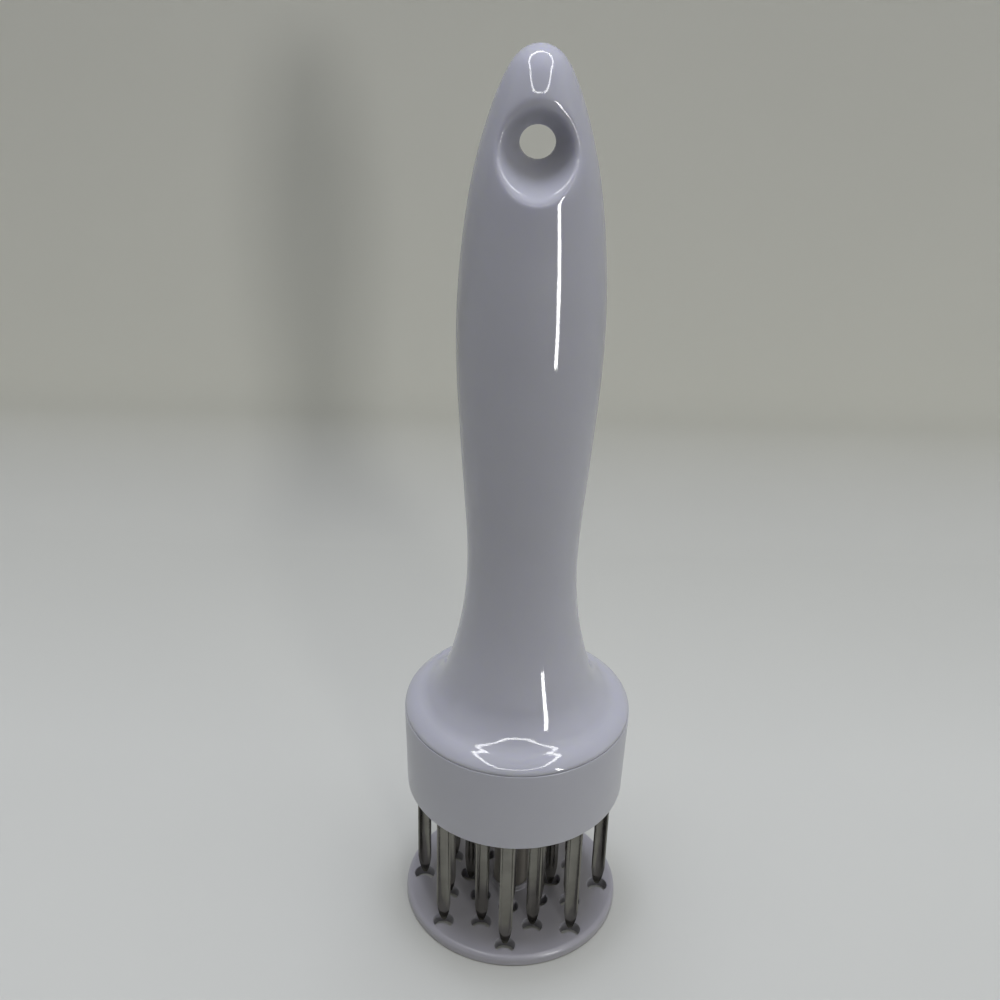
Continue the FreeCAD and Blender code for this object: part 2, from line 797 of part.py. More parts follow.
def make_return_spring():
    """Compression spring between the stop washer and the closed end of the housing."""
    end = size.spring_wire_radius + size.spring_end_gap
    low = WASHER_TOP + end
    length = size.spring_space - end * 2
    helix = doc.addObject("Part::Helix", "spring_line")
    bind(helix, "Pitch", length / size.spring_turns)
    bind(helix, "Height", length)
    bind(helix, "Radius", size.spring_mean_radius)
    move(helix, up=low)
    wire = doc.addObject("Part::Circle", "spring_wire")
    bind(wire, "Radius", size.spring_wire_radius)
    turn(wire, EAST, QUARTER_TURN)
    move(wire, east=size.spring_mean_radius, up=low)
    spring = doc.addObject("Part::Sweep", "return_spring")
    spring.Sections = [wire]
    spring.Spine = (helix, [])
    spring.Solid = True
    spring.Frenet = True
    return spring


def make_blades():
    """All the blades, ring by ring."""
    return [make_blade("blade_%s_%d" % (ring, number), place, opens_forward)
            for ring, number, place, opens_forward in blade_spots()]


def check(thing):
    """Stops before anything is written if a piece or its document object is not sound."""
    shape = thing.Shape
    if shape.isNull() or not shape.isValid() or not shape.Solids:
        raise RuntimeError("%s has no sound solid" % thing.Label)


def write(thing):
    """Writes one piece to its own file, named after its label."""
    solids = thing.Shape.Solids
    shape = solids[0] if len(solids) == 1 else thing.Shape
    shape.exportStep(os.path.join("parts", thing.Label + ".step"))


pieces = [
    make_handle(),
    make_head_ring(),
    make_blade_holder(),
    make_blade_clamp_plate(),
    make_clamp_screws(),
    make_guide_bush(),
    make_spring_housing(),
    make_return_spring(),
    make_foot_plate(),
    make_plunger_stem(),
    make_foot_screw(),
    make_stop_washer(),
    make_stem_screw(),
]
pieces += make_blades()
doc.recompute()

for member in doc.Objects:
    if "Invalid" in member.State or "Error" in member.State:
        raise RuntimeError("%s failed to build: %s" % (member.Label, member.State))
for piece in pieces:
    check(piece)

os.makedirs("parts", exist_ok=True)
for piece in pieces:
    write(piece)
    solids = piece.Shape.Solids
    print("%-20s solids %d  volume %9.2f mm3" % (piece.Label, len(solids), piece.Shape.Volume))
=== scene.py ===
"""Dressed model of a blade meat tenderizer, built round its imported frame.

Sizes in the classes are millimetres and degrees; a mesh is brought to metres as it is finished.
"""
import logging
import math
from dataclasses import dataclass
from enum import Enum
from typing import Iterator, Sequence

import bmesh
import bpy
import numpy as np
from mathutils import Matrix, Vector


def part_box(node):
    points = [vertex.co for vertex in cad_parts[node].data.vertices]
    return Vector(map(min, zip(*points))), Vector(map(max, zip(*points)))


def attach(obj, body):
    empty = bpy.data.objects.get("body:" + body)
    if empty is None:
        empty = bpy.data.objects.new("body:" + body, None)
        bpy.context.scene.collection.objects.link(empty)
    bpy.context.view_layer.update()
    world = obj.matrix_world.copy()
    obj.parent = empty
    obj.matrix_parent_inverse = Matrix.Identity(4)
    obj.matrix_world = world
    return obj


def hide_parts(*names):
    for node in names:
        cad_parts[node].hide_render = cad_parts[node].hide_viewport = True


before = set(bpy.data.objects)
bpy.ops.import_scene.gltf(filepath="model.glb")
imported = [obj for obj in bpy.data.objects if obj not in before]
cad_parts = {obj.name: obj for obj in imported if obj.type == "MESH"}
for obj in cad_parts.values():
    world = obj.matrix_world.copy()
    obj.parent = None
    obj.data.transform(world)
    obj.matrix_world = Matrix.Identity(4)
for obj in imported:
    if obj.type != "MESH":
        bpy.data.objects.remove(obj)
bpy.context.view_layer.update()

LOG = logging.getLogger("tenderizer")

MM = 0.001
FULL_TURN = 2 * math.pi
HALF_TURN = math.pi
QUARTER_TURN = math.pi / 2
UP = Vector((0, 0, 1))
ORIGIN = Vector((0, 0, 0))
MERGE = 2e-4
SLICE = 1e-5
LEVEL = 1e-3
SHARP = 35.0
ROUND_FACETS = 4

Vert = bmesh.types.BMVert
Edge = bmesh.types.BMEdge
Edges = list[Edge]
Thing = bpy.types.Object
Socket = bpy.types.NodeSocket
Material = bpy.types.Material
Colour = tuple[float, float, float]


class Body(Enum):
    """The two bodies that the pieces ride on."""

    GRIP = "grip"
    FOOT = "foot"


class Slot(Enum):
    """The record's material slots."""

    HANDLE = "handle_plastic"
    RING = "ring_plastic"
    FOOT = "foot_plastic"
    INNER = "inner_plastic"
    BUSH = "bush_plastic"
    BLADE = "blade_steel"
    SPRING = "spring_steel"
    SCREW = "screw_steel"


class Facing(Enum):
    """Which way the open side of a gutter blade looks."""

    FORWARD = 0.0
    BACK = HALF_TURN


class Lights(Enum):
    """What a lamp lights: everything, only the mirror image in gloss, or all but that."""

    ALL = "all"
    GLOSS = "gloss"
    BODY = "body"


def node_span(node: str) -> tuple[Vector, Vector]:
    """Lowest and highest corner of a CAD node, in millimetres."""
    low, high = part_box(node)
    return low / MM, high / MM


def from_screen(red: int, green: int, blue: int) -> Colour:
    """Turn a screen colour into the linear one that shaders use.

    Args:
        red, green, blue: channels from 0 to 255.

    Returns:
        The same colour, linear, from 0 to 1.
    """
    def linear(channel: float) -> float:
        """Linear value of one channel."""
        return channel / 12.92 if channel <= 0.04045 else ((channel + 0.055) / 1.055) ** 2.4

    return tuple(linear(channel / 255) for channel in (red, green, blue))


def put(name: str, data: bpy.types.ID) -> Thing:
    """Make an object of this mesh, lamp or camera and link it to the scene."""
    thing = bpy.data.objects.new(name, data)
    bpy.context.scene.collection.objects.link(thing)
    return thing


def stood(place: Sequence[float], right: Vector, above: Vector, back: Vector) -> Matrix:
    """Matrix of a lamp or camera from its place and its own three directions."""
    turn = Matrix((right, above, back)).transposed()
    return Matrix.Translation(Vector(place)) @ turn.to_4x4()


def only(items: Sequence[object], kind: type) -> list:
    """Those of an operator's results that are of one kind."""
    return [item for item in items if isinstance(item, kind)]


def ends(edges: Edges) -> list[Vert]:
    """Corners of some edges, each once, in the order of the edges."""
    return list(dict.fromkeys(vert for edge in edges for vert in edge.verts))


def smooth(mesh: bpy.types.Mesh, fold: float = SHARP) -> None:
    """Shade a mesh smooth, but for edges that fold by more than this many degrees."""
    mesh.shade_smooth()
    mesh.set_sharp_from_angle(angle=math.radians(fold))


# ---------------------------------------------------------------- modelling


class Form:
    """A mesh in the making, in millimetres, shaped with bmesh operators."""

    def __init__(self) -> None:
        """Start with nothing."""
        self.bm = bmesh.new()

    def chain(self, points: Sequence[Vector], closed: bool = False) -> Edges:
        """Join points with edges.

        Args:
            points: corners in order.
            closed: whether the last corner joins the first.

        Returns:
            The new edges, in order.
        """
        verts = [self.bm.verts.new(point) for point in points]
        pairs = list(zip(verts, verts[1:])) + ([(verts[-1], verts[0])] if closed else [])
        return [self.bm.edges.new(pair) for pair in pairs]

    def turn(self, edges: Edges, steps: int, angle: float = FULL_TURN,
             centre: Vector = ORIGIN) -> Edges:
        """Spin edges about an upright axis.

        Args:
            edges: the outline to spin.
            steps: how many facets the turn has.
            angle: how far it turns, in radians.
            centre: a point on the axis.

        Returns:
            The edges at the end of the turn.
        """
        geometry = ends(edges) + edges
        made = bmesh.ops.spin(self.bm, geom=geometry, cent=centre, axis=UP, dvec=ORIGIN,
                              angle=angle, steps=steps, use_duplicate=False,
                              use_merge=abs(angle) >= FULL_TURN, use_normal_flip=False)
        return only(made["geom_last"], Edge)

    def circles(self, radius: float, height: float) -> Edges:
        """Edges of the circle about the axis that has this radius and height."""
        return [edge for edge in self.bm.edges
                if all(abs(vert.co.z - height) < LEVEL
                       and abs(math.hypot(vert.co.x, vert.co.y) - radius) < LEVEL
                       for vert in edge.verts)]

    def round_off(self, edges: Edges, size: float, segments: int) -> None:
        """Round edges with a bevel.

        Args:
            edges: the edges to round.
            size: how far the bevel reaches from the edge.
            segments: facets across the bevel.
        """
        bmesh.ops.bevel(self.bm, geom=edges, offset=size, offset_type="OFFSET",
                        affect="EDGES", segments=segments, profile=0.5, material=-1,
                        clamp_overlap=True)

    def move(self, way: Vector, verts: list[Vert] | None = None) -> None:
        """Move some corners, or all of them."""
        bmesh.ops.translate(self.bm, vec=way, verts=self.bm.verts if verts is None else verts)

    def rotate(self, angle: float, axis: str) -> None:
        """Turn everything about an axis through the origin."""
        bmesh.ops.rotate(self.bm, cent=ORIGIN, verts=self.bm.verts,
                         matrix=Matrix.Rotation(angle, 3, axis))

    def tidy(self) -> None:
        """Merge doubles and turn every face outwards."""
        bmesh.ops.remove_doubles(self.bm, verts=self.bm.verts, dist=MERGE)
        bmesh.ops.recalc_face_normals(self.bm, faces=self.bm.faces)

    def piece(self, name: str, sharp: float = SHARP) -> Thing:
        """Bring the mesh to metres and make it an object.

        Args:
            name: the object's name.
            sharp: edges that fold by more than this many degrees stay crisp.

        Returns:
            The new object, linked to the scene.
        """
        self.tidy()
        bmesh.ops.scale(self.bm, vec=Vector((MM, MM, MM)), verts=self.bm.verts)
        mesh = bpy.data.meshes.new(name)
        self.bm.to_mesh(mesh)
        self.bm.free()
        smooth(mesh, sharp)
        return put(name, mesh)


class Fairing:
    """Smooth plane curve through points, with a given direction at each end."""

    def __init__(self, points: Sequence[Vector], start: Vector, end: Vector) -> None:
        """Solve the curve's slope at every point.

        Args:
            points: what the curve passes through, in order.
            start: its direction at the first point.
            end: its direction at the last one.
        """
        self.points = np.array(points, float)
        self.spans = np.linalg.norm(np.diff(self.points, axis=0), axis=1)
        self.knots = np.concatenate(([0.0], np.cumsum(self.spans)))
        chords = np.diff(self.points, axis=0) / self.spans[:, None]
        count = len(self.points)
        system = np.eye(count)
        slopes = np.zeros_like(self.points)
        slopes[0], slopes[-1] = start, end
        for knot in range(1, count - 1):
            before, after = 1 / self.spans[knot - 1], 1 / self.spans[knot]
            system[knot, knot - 1:knot + 2] = before, 2 * (before + after), after
            slopes[knot] = 3 * (chords[knot - 1] * before + chords[knot] * after)
        self.slopes = np.linalg.solve(system, slopes)

    def at(self, place: float) -> Vector:
        """Point at a length along the chords."""
        knot = int(np.clip(np.searchsorted(self.knots, place) - 1, 0, len(self.spans) - 1))
        span = self.spans[knot]
        part = (place - self.knots[knot]) / span
        rest = 1 - part
        point = (self.points[knot] * (1 + 2 * part) * rest ** 2
                 + self.slopes[knot] * span * part * rest ** 2
                 + self.points[knot + 1] * (1 + 2 * rest) * part ** 2
                 - self.slopes[knot + 1] * span * rest * part ** 2)
        return Vector(point)


def outline_point(radius: float, height: float) -> Vector:
    """Point of a turned piece's outline."""
    return Vector((radius, 0, height))


def bend(start: Vector, lean_in: float, lean_out: float, radius: float,
         steps: int) -> list[Vector]:
    """Arc of an outline that climbs inwards.

    Args:
        start: where it starts.
        lean_in, lean_out: the surface's angle away from level at its two ends.
        radius: positive where the surface bulges, negative where it is hollow.
        steps: how many facets it has.

    Returns:
        The points after the start.
    """
    first = math.radians(lean_in)
    points = []
    for step in range(1, steps + 1):
        lean = math.radians(lean_in + (lean_out - lean_in) * step / steps)
        inwards = radius * (math.sin(first) - math.sin(lean))
        climb = radius * (math.cos(lean) - math.cos(first))
        points.append(start + Vector((-inwards, 0, climb)))
    return points


def settle(thing: Thing, body: Body, nodes: Sequence[str],
           material: Material) -> Thing:
    """Dress a new piece and put it on its body in place of its CAD nodes.

    Args:
        thing: the piece.
        body: what it rides on.
        nodes: the CAD nodes that it stands for.
        material: its finish.

    Returns:
        The piece.
    """
    thing.data.materials.append(material)
    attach(thing, body.value)
    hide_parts(*nodes)
    LOG.info("%s: %d faces", thing.name, len(thing.data.polygons))
    return thing


# ---------------------------------------------------------------- finishes


class Shading:
    """Short hand for building a node tree."""

    def __init__(self, tree: bpy.types.NodeTree) -> None:
        """Keep the tree."""
        self.tree = tree

    def add(self, kind: str, **values: object) -> bpy.types.Node:
        """Add a node.

        Args:
            kind: the node's type, without its ShaderNode prefix.
            values: node settings by their own name, and inputs by name with underscores.

        Returns:
            The node.
        """
        prefix = "" if kind.startswith("NodeGroup") else "ShaderNode"
        node = self.tree.nodes.new(prefix + kind)
        for key, value in values.items():
            if hasattr(node, key):
                setattr(node, key, value)
            else:
                self.feed(node, key.replace("_", " "), value)
        return node

    def feed(self, node: bpy.types.Node, name: str | int, value: object) -> None:
        """Set an input, or link it if the value is another node's output."""
        socket = node.inputs[name]
        if isinstance(value, Socket):
            self.tree.links.new(value, socket)
        else:
            socket.default_value = value

    def maths(self, operation: str, *values: object) -> Socket:
        """Result of a Math node for these values."""
        node = self.tree.nodes.new("ShaderNodeMath")
        node.operation = operation
        for number, value in enumerate(values):
            self.feed(node, number, value)
        return node.outputs[0]

    def noise(self, place: Socket, scale: object, detail: float = 2.0,
              rough: float = 0.5) -> Socket:
        """Value of a Noise Texture node at a place."""
        node = self.add("TexNoise", Vector=place, Scale=scale, Detail=detail, Roughness=rough)
        return node.outputs["Fac"]

    def spread(self, value: Socket, low: float, high: float,
               out_low: object = 0.0, out_high: object = 1.0) -> Socket:
        """Value carried from one range to another, smoothly and held inside it."""
        node = self.add("MapRange", interpolation_type="SMOOTHSTEP")
        for name, amount in (("Value", value), ("From Min", low), ("From Max", high),
                             ("To Min", out_low), ("To Max", out_high)):
            self.feed(node, name, amount)
        return node.outputs["Result"]

    def blend(self, amount: object, first: object, second: object) -> Socket:
        """Colour between two others."""
        node = self.tree.nodes.new("ShaderNodeMix")
        node.data_type = "RGBA"
        for socket, value in zip((node.inputs[0], node.inputs[6], node.inputs[7]),
                                 (amount, first, second)):
            if isinstance(value, Socket):
                self.tree.links.new(value, socket)
            else:
                socket.default_value = value if isinstance(value, float) else (*value, 1.0)
        return node.outputs[2]


class Surface(Shading):
    """Node tree of a new material, with its shader and the object's own coordinates."""

    def __init__(self, name: str) -> None:
        """Make the material."""
        self.material = bpy.data.materials.new(name)
        self.material.use_nodes = True
        super().__init__(self.material.node_tree)
        self.shader = self.tree.nodes["Principled BSDF"]
        self.place = self.add("TexCoord").outputs["Object"]

    def fix(self, **values: object) -> None:
        """Set the shader's own sockets, by name with underscores."""
        for name, value in values.items():
            self.shader.inputs[name.replace("_", " ")].default_value = value

    def cover(self, tone: Socket, mark: Socket, swing: float,
              roughness: float, height: Socket, relief: float,
              distance: float) -> None:
        """Feed the shader's colour, roughness and normal.

        Args:
            tone: its base colour.
            mark: what changes the roughness over the surface.
            swing: how much the mark adds to it.
            roughness: its lowest value.
            height: what the bump follows.
            relief, distance: the bump's strength and its depth in metres.
        """
        self.feed(self.shader, "Base Color", tone)
        self.feed(self.shader, "Roughness", self.maths("MULTIPLY_ADD", mark, swing, roughness))
        bump = self.add("Bump", Strength=relief, Distance=distance, Height=height)
        self.feed(self.shader, "Normal", bump.outputs["Normal"])


class Effect:
    """A shader node group with named inputs and outputs, built once."""

    def __init__(self, name: str, inputs: dict[str, float], outputs: Sequence[str]) -> None:
        """Make the group's sockets.

        Args:
            name: the group's name.
            inputs: value inputs with what they start at; a place input is added first.
            outputs: names of the value outputs.
        """
        self.tree = bpy.data.node_groups.new(name, "ShaderNodeTree")
        self.tree.interface.new_socket("Place", in_out="INPUT", socket_type="NodeSocketVector")
        for label, value in inputs.items():
            socket = self.tree.interface.new_socket(label, in_out="INPUT",
                                                    socket_type="NodeSocketFloat")
            socket.default_value = value
        for label in outputs:
            self.tree.interface.new_socket(label, in_out="OUTPUT",
                                           socket_type="NodeSocketFloat")
        self.shading = Shading(self.tree)
        self.source = self.tree.nodes.new("NodeGroupInput")
        self.sink = self.tree.nodes.new("NodeGroupOutput")

    def put(self, label: str, value: Socket) -> None:
        """Send a value out of the group."""
        self.tree.links.new(value, self.sink.inputs[label])

    def use(self, shading: Shading, place: Socket,
            **values: object) -> bpy.types.Node:
        """Place the group in a material."""
        node = shading.tree.nodes.new("ShaderNodeGroup")
        node.node_tree = self.tree
        shading.feed(node, "Place", place)
        for label, value in values.items():
            shading.feed(node, label.replace("_", " "), value)
        return node


class Effects:
    """The shared effects: handling marks, moulded skin and grinding lines."""

    def __init__(self) -> None:
        """Build each group."""
        self.handling = self.make_handling()
        self.skin = self.make_skin()
        self.lines = self.make_lines()

    def make_handling(self) -> Effect:
        """Cloudy smears and a few dust specks, as on a thing that is used and wiped."""
        effect = Effect("handling_marks", {"Smear Scale": 60.0, "Speck Scale": 900.0},
                        ("Smear", "Speck"))
        work, source = effect.shading, effect.source.outputs
        broad = work.noise(source["Place"], source["Smear Scale"], 4.0, 0.62)
        effect.put("Smear", work.spread(broad, 0.25, 0.8))
        dots = work.add("TexVoronoi", feature="F1", Vector=source["Place"],
                        Scale=source["Speck Scale"])
        patchy = work.spread(work.noise(source["Place"], source["Smear Scale"], 1.0), 0.5, 0.75)
        near = work.spread(dots.outputs["Distance"], 0.03, 0.12, 1.0, 0.0)
        effect.put("Speck", work.maths("MULTIPLY", near, patchy))
        return effect

    def make_skin(self) -> Effect:
        """The slow waves and the fine grain that a mould leaves in plastic."""
        effect = Effect("moulded_skin", {"Wave Scale": 90.0, "Grain Scale": 2600.0,
                                         "Grain Share": 0.2}, ("Height",))
        work, source = effect.shading, effect.source.outputs
        waves = work.noise(source["Place"], source["Wave Scale"], 1.0)
        grain = work.noise(source["Place"], source["Grain Scale"], 2.0)
        effect.put("Height", work.maths("MULTIPLY_ADD", grain, source["Grain Share"], waves))
        return effect

    def make_lines(self) -> Effect:
        """Fine straight lines along Z, as grinding and drawing leave in steel."""
        effect = Effect("ground_lines", {"Line Scale": 5200.0, "Line Length": 0.02},
                        ("Line", "Cloud"))
        work, source = effect.shading, effect.source.outputs
        parts = work.add("SeparateXYZ", Vector=source["Place"])
        squeezed = work.add("CombineXYZ", X=parts.outputs["X"], Y=parts.outputs["Y"],
                            Z=work.maths("MULTIPLY", parts.outputs["Z"],
                                         source["Line Length"]))
        effect.put("Line", work.noise(squeezed.outputs[0], source["Line Scale"], 3.0, 0.6))
        effect.put("Cloud", work.spread(work.noise(source["Place"], 260.0, 3.0), 0.35, 0.7))
        return effect


@dataclass(frozen=True)
class Plastic:
    """Moulded plastic: a body colour, a gloss and the marks of the mould and of use."""

    name: str
    colour: Colour
    roughness: float
    smear: float = 0.03
    shade: float = 0.97
    dust: float = 0.35
    dust_shade: float = 0.62
    relief: float = 0.012
    wave_scale: float = 70.0
    grain_share: float = 0.02
    depth: float = 0.06
    reach: float = 1.5

    def material(self, effects: Effects) -> Material:
        """Build the node material.

        Args:
            effects: the shared node groups.

        Returns:
            The material.
        """
        work = Surface(self.name)
        marks = effects.handling.use(work, work.place)
        skin = effects.skin.use(work, work.place, Wave_Scale=self.wave_scale,
                                Grain_Share=self.grain_share)
        shaded = tuple(channel * self.shade for channel in self.colour)
        tone = work.blend(marks.outputs["Smear"], self.colour, shaded)
        dusty = work.blend(work.maths("MULTIPLY", marks.outputs["Speck"], self.dust), tone,
                           tuple(channel * self.dust_shade for channel in self.colour))
        work.cover(dusty, marks.outputs["Smear"], self.smear, self.roughness,
                   skin.outputs["Height"], self.relief, MM)
        work.fix(IOR=1.49, Subsurface_Weight=self.depth, Subsurface_Radius=(0.8, 0.75, 1.4),
                 Subsurface_Scale=self.reach * MM)
        return work.material


@dataclass(frozen=True)
class Steel:
    """Steel with fine lines along its length and a slightly uneven polish."""

    name: str
    colour: Colour
    dark: Colour
    roughness: float
    spread: float = 0.08
    relief: float = 0.02
    line_scale: float = 5200.0
    line_length: float = 0.02

    def material(self, effects: Effects) -> Material:
        """Build the node material.

        Args:
            effects: the shared node groups.

        Returns:
            The material.
        """
        work = Surface(self.name)
        lines = effects.lines.use(work, work.place, Line_Scale=self.line_scale,
                                  Line_Length=self.line_length)
        tone = work.blend(lines.outputs["Cloud"], self.colour, self.dark)
        work.cover(tone, lines.outputs["Line"], self.spread, self.roughness,
                   lines.outputs["Line"], self.relief, 0.1 * MM)
        work.fix(Metallic=1.0)
        return work.material


class Finishes:
    """Every finish of the tool, by the slot it belongs to."""

    def __init__(self) -> None:
        """Build the shared effects, one material per slot and the post's own."""
        effects = Effects()
        finishes = {
            Slot.HANDLE: Plastic("gloss_white_handle", from_screen(191, 191, 199), 0.036,
                                depth=0.35, reach=3.5),
            Slot.RING: Plastic("satin_white_ring", from_screen(190, 190, 197), 0.30,
                               relief=0.02, grain_share=0.05),
            # Foot white is painted darker than the ring's white, as painted shade from the head
            # above it.
            Slot.FOOT: Plastic("satin_white_foot_painted_shade", from_screen(167, 165, 171), 0.30,
                               relief=0.02, grain_share=0.05),
            Slot.INNER: Plastic("grey_white_inner", from_screen(176, 174, 172), 0.45,
                                relief=0.05, grain_share=0.2),
            Slot.BUSH: Plastic("cream_bush", from_screen(205, 198, 180), 0.4,
                               relief=0.05, grain_share=0.2),
            # Blade steel is painted dark, as painted shade under the head in place of brighter
            # reflections; the cloud between its two colours is random tone.
            Slot.BLADE: Steel("blade_steel_ground", from_screen(136, 134, 127),
                              from_screen(126, 124, 118), 0.15, line_scale=2600.0),
            Slot.SPRING: Steel("spring_steel_drawn", from_screen(176, 176, 178),
                               from_screen(140, 140, 142), 0.28, line_length=0.4),
            Slot.SCREW: Steel("screw_steel_plated", from_screen(190, 190, 192),
                              from_screen(160, 160, 160), 0.29, line_length=1.0),
        }
        self.materials = {slot: finish.material(effects) for slot, finish in finishes.items()}
        # The post's colour is a brownish tone of its own, also painted darker as painted shade
        # from the head and blades around it.
        self.post = Plastic("brownish_post_painted_shade", from_screen(136, 131, 123), 0.38).material(effects)

    def of(self, slot: Slot) -> Material:
        """Material of a slot."""
        return self.materials[slot]


# ---------------------------------------------------------------- pieces


@dataclass
class Handle:
    """Moulded handle: a turned skin, cored from below, with a hanging hole through its top."""

    steps: int = 256
    bend_steps: int = 12
    fillet_steps: int = 8
    seam_facets: int = 3
    flange_rim: float = 0.4
    edge_round: float = 1.1
    edge_lean: float = 50.0
    crown_round: float = 6.9
    dip_lean: float = 20.0
    fillet_round: float = 5.9
    fillet_lean: float = 44.0
    seam_step: float = 0.15
    seam_round: float = 0.38
    flare_insets: tuple[tuple[float, float], ...] = (
        (0.0443, 7.1), (0.0611, 8.6), (0.0815, 9.65))
    grip_radii: tuple[tuple[float, float], ...] = (
        (0.1435, 13.4), (0.257, 11.75), (0.370, 12.5), (0.490, 13.75), (0.638, 14.55),
        (0.754, 13.55), (0.850, 11.45), (0.9225, 8.6), (0.9720, 5.65),
        (0.990, 3.7))
    coarse: float = 1.1
    medium: float = 0.5
    fine: float = 0.25
    flare_span: float = 14.0
    dish_below: float = 11.5
    dish_above: float = 12.5
    hang_drop: float = 17.4
    hole_radius: float = 3.3
    throat_half: float = 0.5
    funnel_slope: float = 0.5
    funnel_lift: float = 2.7 / 17.0
    rim_blend: float = 4.8
    throat_sides: int = 96
    seat_clearance: float = 0.05
    housing_flange: float = 2.1
    flange_height: float = 1.5
    spigot_wall: float = 3.8
    boss_wall: float = 1.4
    pocket_depth: float = 6.0
    core_radius: float = 6.0
    core_end_radius: float = 4.0
    core_end_web: float = 16.0

    def __post_init__(self) -> None:
        """Read the places that the frame settles."""
        low, high = node_span("handle")
        self.base, self.tip, self.radius = low.z, high.z, high.x - self.seam_step
        self.seam = node_span("head_ring")[1].z
        self.hang_height = self.tip - self.hang_drop
        self.dish_low = self.hang_height - self.dish_below
        self.dish_high = self.hang_height + self.dish_above

    def side(self, start: Vector) -> list[Vector]:
        """Flare, grip and crown, from the flange's top to the tip.

        Args:
            start: the last point of the flange.

        Returns:
            The outline's points after it.
        """
        rise = self.tip - self.seam
        stations = [(share, self.radius - inset) for share, inset in self.flare_insets]
        stations += self.grip_radii
        points = [start] + [outline_point(radius, self.seam + rise * share)
                            for share, radius in stations] + [outline_point(0, self.tip)]
        lean = math.radians(self.fillet_lean)
        curve = Fairing(points, Vector((-math.cos(lean), 0, math.sin(lean))),
                        Vector((-1, 0, 0)))
        end = curve.knots[-1]
        places, place = [], 0.0
        while place < end - self.fine:
            height = curve.at(place).z
            in_dish = self.dish_low < height < self.dish_high
            in_flare = height < self.seam + self.flare_span
            place += self.fine if in_dish else self.medium if in_flare else self.coarse
            places.append(min(place, end - self.fine / 2))
        return [curve.at(place) for place in places] + [outline_point(0, self.tip)]

    def outline(self) -> list[Vector]:
        """Closed outline of the skin and the hollows below, from the axis round to the axis."""
        spigot = node_span("blade_holder")[1].x + self.seat_clearance
        housing_low, housing_high = node_span("spring_housing")
        seat = housing_high.x + self.seat_clearance
        bore = seat - self.housing_flange
        seat_top = self.base + self.flange_height + self.seat_clearance
        ceiling = housing_high.z + self.seat_clearance
        pocket_top = self.base + self.pocket_depth
        rim_top = outline_point(self.radius, self.seam + self.flange_rim)
        flange = bend(rim_top, 90.0, self.edge_lean, self.edge_round, self.bend_steps)
        flange += bend(flange[-1], self.edge_lean, self.dip_lean, self.crown_round,
                       self.bend_steps)
        flange += bend(flange[-1], self.dip_lean, self.fillet_lean, -self.fillet_round,
                       self.fillet_steps)
        inside = [(0.0, self.hang_height - self.core_end_web),
                  (self.core_end_radius, self.hang_height - self.core_end_web),
                  (self.core_radius, ceiling), (bore, ceiling), (bore, seat_top),
                  (seat, seat_top), (seat, self.base),
                  (seat + self.boss_wall, self.base), (seat + self.boss_wall, pocket_top),
                  (spigot - self.spigot_wall, pocket_top), (spigot - self.spigot_wall, self.base),
                  (spigot, self.base), (spigot, self.seam), (self.radius, self.seam)]
        points = [outline_point(*corner) for corner in inside] + [rim_top] + flange
        return points + self.side(flange[-1])

    def pierce(self, thing: Thing) -> None:
        """Bore the round throat straight through the skin, front to back.

        Args:
            thing: the turned handle, in metres.
        """
        drill = Form()
        bmesh.ops.create_cone(drill.bm, cap_ends=True, segments=self.throat_sides,
                              radius1=self.hole_radius, radius2=self.hole_radius,
                              depth=self.radius * 2)
        drill.rotate(QUARTER_TURN, "X")
        drill.move(Vector((0, 0, self.hang_height)))
        tool = drill.piece("throat_drill")
        cut = thing.modifiers.new("throat", "BOOLEAN")
        cut.operation, cut.solver, cut.object = "DIFFERENCE", "EXACT", tool
        graph = bpy.context.evaluated_depsgraph_get()
        bored = bpy.data.meshes.new_from_object(thing.evaluated_get(graph))
        thing.modifiers.clear()
        thing.data = bored
        bpy.data.objects.remove(tool)

    def funnel_depth(self, across: float, above: float) -> float:
        """How far from the middle plane a funnel's wall lies.

        Args:
            across: distance from the hole's centre along X.
            above: distance from the hole's centre along Z.

        Returns:
            The wall's distance from the plane y = 0.
        """
        slope, lift = self.funnel_slope, self.funnel_lift
        square = lift ** 2 - slope ** 2
        linear = -2 * (lift * above + slope * self.hole_radius)
        rest = across ** 2 + above ** 2 - self.hole_radius ** 2
        reach = (-linear - math.sqrt(max(linear ** 2 - 4 * square * rest, 0.0))) / (2 * square)
        return self.throat_half + max(reach, 0.0)

    def carve(self, thing: Thing) -> None:
        """Sink the funnels round the throat, with a soft rim where they meet the skin.

        Args:
            thing: the bored handle, in metres.
        """
        bm = bmesh.new()
        bm.from_mesh(thing.data)
        bmesh.ops.triangulate(bm, faces=[face for face in bm.faces if len(face.verts) > 4])
        for vert in bm.verts:
            point = vert.co / MM
            if not self.dish_low < point.z < self.dish_high:
                continue
            wall = self.funnel_depth(point.x, point.z - self.hang_height)
            skin = abs(point.y)
            overlap = max(self.rim_blend - abs(skin - wall), 0.0) / self.rim_blend
            depth = min(skin, wall) - overlap ** 3 * self.rim_blend / 6
            vert.co.y = math.copysign(depth, point.y) * MM
        bmesh.ops.recalc_face_normals(bm, faces=bm.faces)
        bm.to_mesh(thing.data)
        bm.free()
        smooth(thing.data)

    def build(self, finishes: Finishes) -> None:
        """Model and dress the handle."""
        form = Form()
        form.turn(form.chain(self.outline()), self.steps)
        form.tidy()
        form.round_off(form.circles(self.radius, self.seam), self.seam_round,
                       self.seam_facets)
        thing = form.piece("handle_moulding")
        self.pierce(thing)
        self.carve(thing)
        settle(thing, Body.GRIP, ["handle"], finishes.of(Slot.HANDLE))


@dataclass(frozen=True)
class Corner:
    """Corner of a turned outline, and how much it is rounded."""

    radius: float
    height: float
    round: float = 0.0


